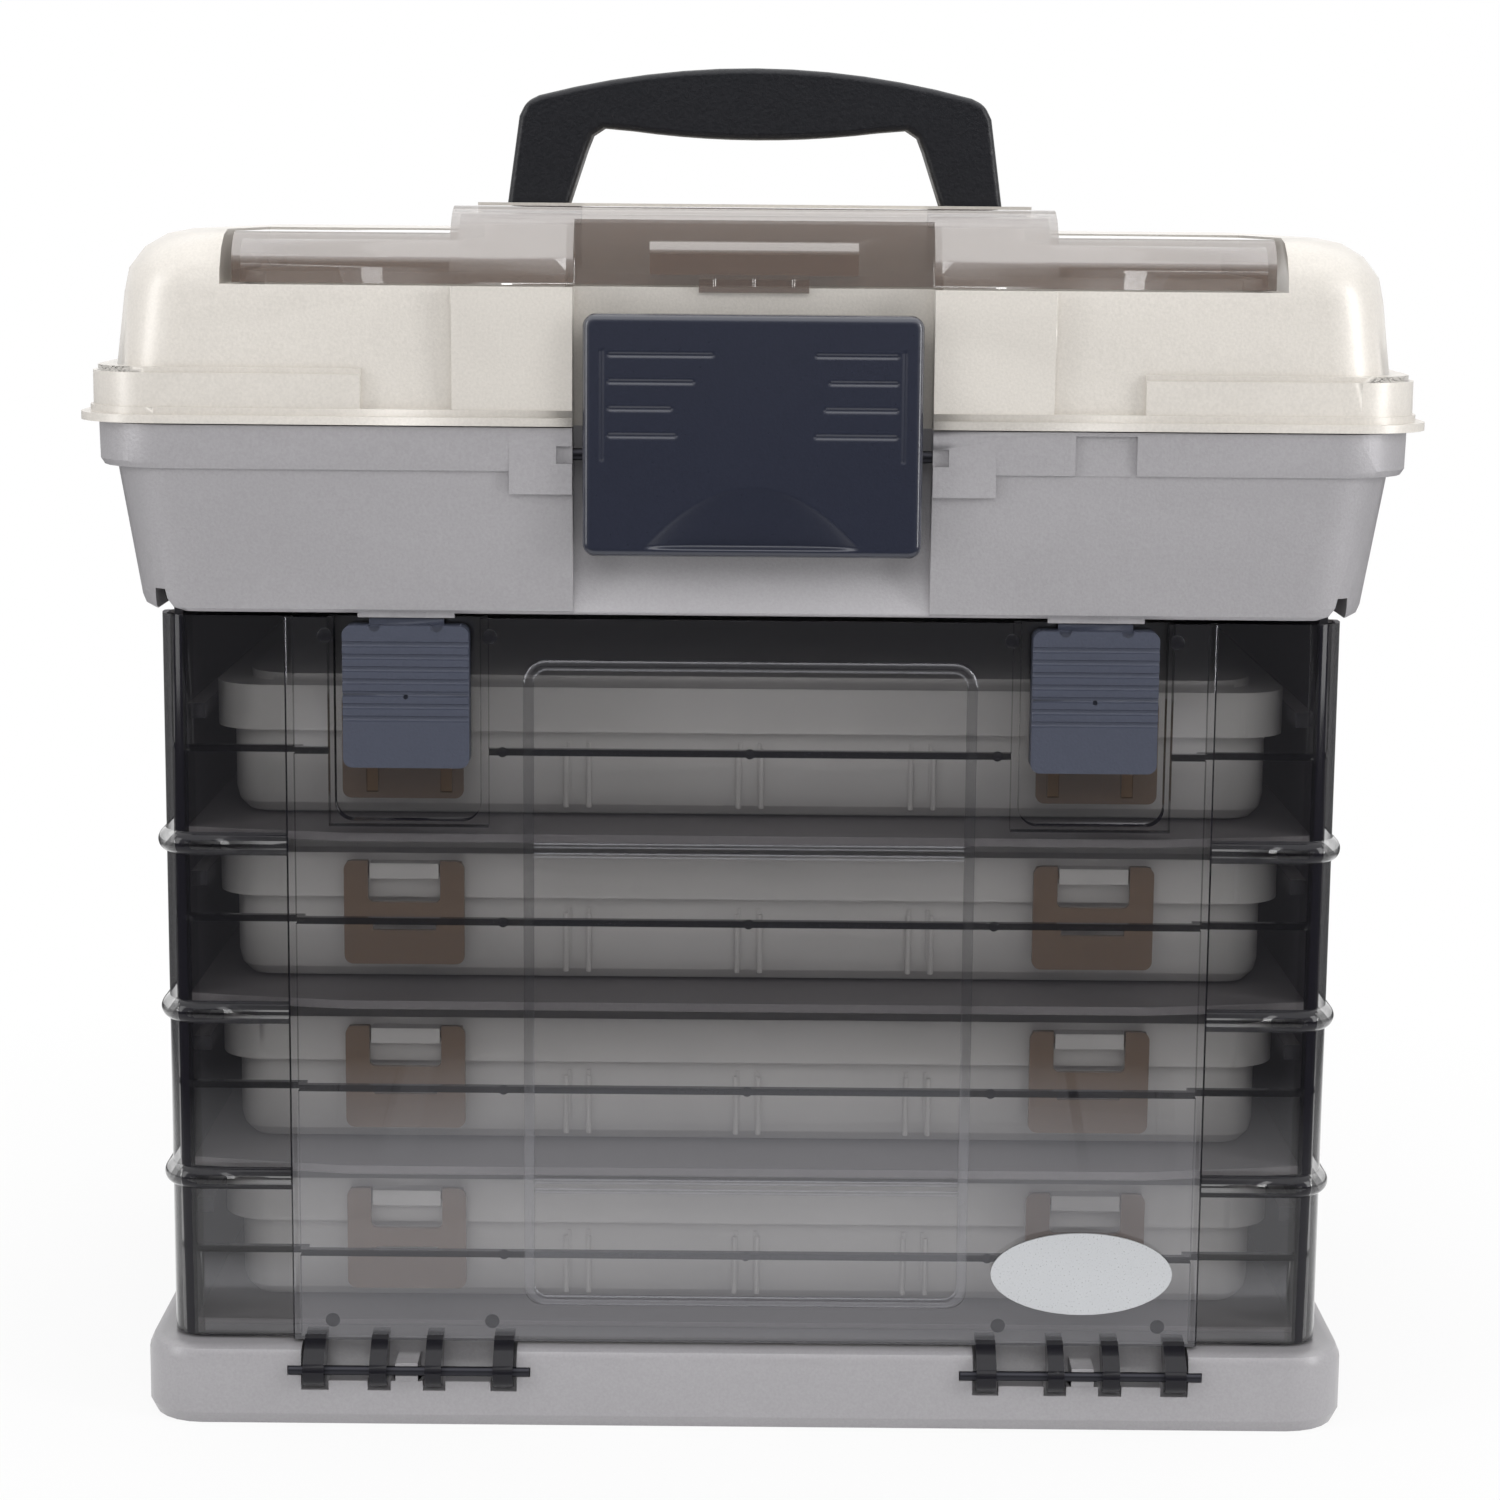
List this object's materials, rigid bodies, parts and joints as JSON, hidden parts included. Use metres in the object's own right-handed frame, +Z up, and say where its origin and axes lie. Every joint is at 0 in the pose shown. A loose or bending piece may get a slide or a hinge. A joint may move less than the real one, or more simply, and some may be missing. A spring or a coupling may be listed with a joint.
{
  "type": "fishing tackle cabinet",
  "caption": "Tackle cabinet: drop-down clear door over removable utility boxes, storage tub with hinged lid, clear access cover and folding handle on top.",
  "frame": {"origin": "centre of the footprint, on the surface it stands on", "axes": "+X to the right, +Y to the back, +Z up; the door faces -Y"},
  "size_m": [0.432, 0.292, 0.448],
  "materials": {
    "base_plastic": "satin",
    "rack_plastic": "satin",
    "tub_plastic": "fine grain",
    "lid_plastic": "pearl, fine grain",
    "smoke_clear": "clear, polished",
    "cover_clear": "clear, polished",
    "latch_navy": "grained",
    "latch_slate": "grained",
    "handle_black": "coarse grain",
    "box_clear": "frosted",
    "box_latch_brown": "moulded",
    "steel": "drawn",
    "badge_silver": "satin"
  },
  "bodies": {
    "cabinet": {"base": "base_plastic", "rack_floor": "rack_plastic", "rack_side_left": "rack_plastic", "rack_side_right": "rack_plastic", "rack_back": "rack_plastic", "rack_shelf_1": "rack_plastic", "rack_shelf_2": "rack_plastic", "rack_shelf_3": "rack_plastic", "tub": "tub_plastic", "door_hinge_rod_left": "steel", "door_hinge_rod_right": "steel", "main_latch_pin": "steel", "lid_hinge_pins": "steel"},
    "lid": {"lid": "lid_plastic", "cover_hinge_pin": "steel", "handle_pivot_pins": "steel"},
    "lid_cover": {"lid_cover": "cover_clear"},
    "handle": {"handle": "handle_black"},
    "main_latch": {"main_latch": "latch_navy"},
    "door": {"door": "smoke_clear", "badge_plate": "badge_silver"},
    "door_latch_left": {"door_latch_left": "latch_slate"},
    "door_latch_right": {"door_latch_right": "latch_slate"},
    "box_1": {"box_1_tray": "box_clear", "box_1_lid": "box_clear", "box_1_dividers": "box_clear"},
    "box_1_latch_left": {"box_1_latch_left": "box_latch_brown"},
    "box_1_latch_right": {"box_1_latch_right": "box_latch_brown"},
    "box_2": {"box_2_tray": "box_clear", "box_2_lid": "box_clear", "box_2_dividers": "box_clear"},
    "box_2_latch_left": {"box_2_latch_left": "box_latch_brown"},
    "box_2_latch_right": {"box_2_latch_right": "box_latch_brown"},
    "box_3": {"box_3_tray": "box_clear", "box_3_lid": "box_clear", "box_3_dividers": "box_clear"},
    "box_3_latch_left": {"box_3_latch_left": "box_latch_brown"},
    "box_3_latch_right": {"box_3_latch_right": "box_latch_brown"},
    "box_4": {"box_4_tray": "box_clear", "box_4_lid": "box_clear", "box_4_dividers": "box_clear"},
    "box_4_latch_left": {"box_4_latch_left": "box_latch_brown"},
    "box_4_latch_right": {"box_4_latch_right": "box_latch_brown"}
  },
  "joints": [
    {"name": "door_hinge", "type": "hinge", "parent": "cabinet", "child": "door", "pos_m": [0, -0.1375, 0.019], "axis": [1, 0, 0], "range_deg": [0, 90]},
    {"name": "door_latch_left_slide", "type": "slide", "parent": "door", "child": "door_latch_left", "axis": [0, 0, -1], "range_m": [0, 0.014]},
    {"name": "door_latch_right_slide", "type": "slide", "parent": "door", "child": "door_latch_right", "axis": [0, 0, -1], "range_m": [0, 0.014]},
    {"name": "main_latch_rock", "type": "hinge", "parent": "cabinet", "child": "main_latch", "pos_m": [0, -0.136, 0.3225], "axis": [1, 0, 0], "range_deg": [0, 15]},
    {"name": "lid_hinge", "type": "hinge", "parent": "cabinet", "child": "lid", "pos_m": [0, 0.142, 0.331], "axis": [-1, 0, 0], "range_deg": [0, 95]},
    {"name": "cover_hinge", "type": "hinge", "parent": "lid", "child": "lid_cover", "pos_m": [0, -0.026, 0.3969], "axis": [-1, 0, 0], "range_deg": [0, 90]},
    {"name": "handle_pivot", "type": "hinge", "parent": "lid", "child": "handle", "pos_m": [0, 0, 0.391], "axis": [-1, 0, 0], "range_deg": [0, 90]},
    {"name": "box_1_slide", "type": "slide", "parent": "cabinet", "child": "box_1", "axis": [0, -1, 0], "range_m": [0, 0.252]},
    {"name": "box_1_latch_left_hinge", "type": "hinge", "parent": "box_1", "child": "box_1_latch_left", "pos_m": [-0.1145, -0.1055, 0.2379], "axis": [-1, 0, 0], "range_deg": [0, 22]},
    {"name": "box_1_latch_right_hinge", "type": "hinge", "parent": "box_1", "child": "box_1_latch_right", "pos_m": [0.1145, -0.1055, 0.2379], "axis": [-1, 0, 0], "range_deg": [0, 22]},
    {"name": "box_2_slide", "type": "slide", "parent": "cabinet", "child": "box_2", "axis": [0, -1, 0], "range_m": [0, 0.252]},
    {"name": "box_2_latch_left_hinge", "type": "hinge", "parent": "box_2", "child": "box_2_latch_left", "pos_m": [-0.1145, -0.1055, 0.1817], "axis": [-1, 0, 0], "range_deg": [0, 35]},
    {"name": "box_2_latch_right_hinge", "type": "hinge", "parent": "box_2", "child": "box_2_latch_right", "pos_m": [0.1145, -0.1055, 0.1817], "axis": [-1, 0, 0], "range_deg": [0, 35]},
    {"name": "box_3_slide", "type": "slide", "parent": "cabinet", "child": "box_3", "axis": [0, -1, 0], "range_m": [0, 0.173]},
    {"name": "box_3_latch_left_hinge", "type": "hinge", "parent": "box_3", "child": "box_3_latch_left", "pos_m": [-0.1145, -0.1055, 0.1255], "axis": [-1, 0, 0], "range_deg": [0, 35]},
    {"name": "box_3_latch_right_hinge", "type": "hinge", "parent": "box_3", "child": "box_3_latch_right", "pos_m": [0.1145, -0.1055, 0.1255], "axis": [-1, 0, 0], "range_deg": [0, 35]},
    {"name": "box_4_slide", "type": "slide", "parent": "cabinet", "child": "box_4", "axis": [0, -1, 0], "range_m": [0, 0.0475]},
    {"name": "box_4_latch_left_hinge", "type": "hinge", "parent": "box_4", "child": "box_4_latch_left", "pos_m": [-0.1145, -0.1055, 0.0693], "axis": [-1, 0, 0], "range_deg": [0, 35]},
    {"name": "box_4_latch_right_hinge", "type": "hinge", "parent": "box_4", "child": "box_4_latch_right", "pos_m": [0.1145, -0.1055, 0.0693], "axis": [-1, 0, 0], "range_deg": [0, 35]}
  ],
  "couplings": [
    {"joint": "box_1_slide", "follows": "door_hinge", "m_per_rad": 0.16},
    {"joint": "box_2_slide", "follows": "door_hinge", "m_per_rad": 0.16},
    {"joint": "box_3_slide", "follows": "door_hinge", "m_per_rad": 0.11},
    {"joint": "box_4_slide", "follows": "door_hinge", "m_per_rad": 0.03}
  ]
}
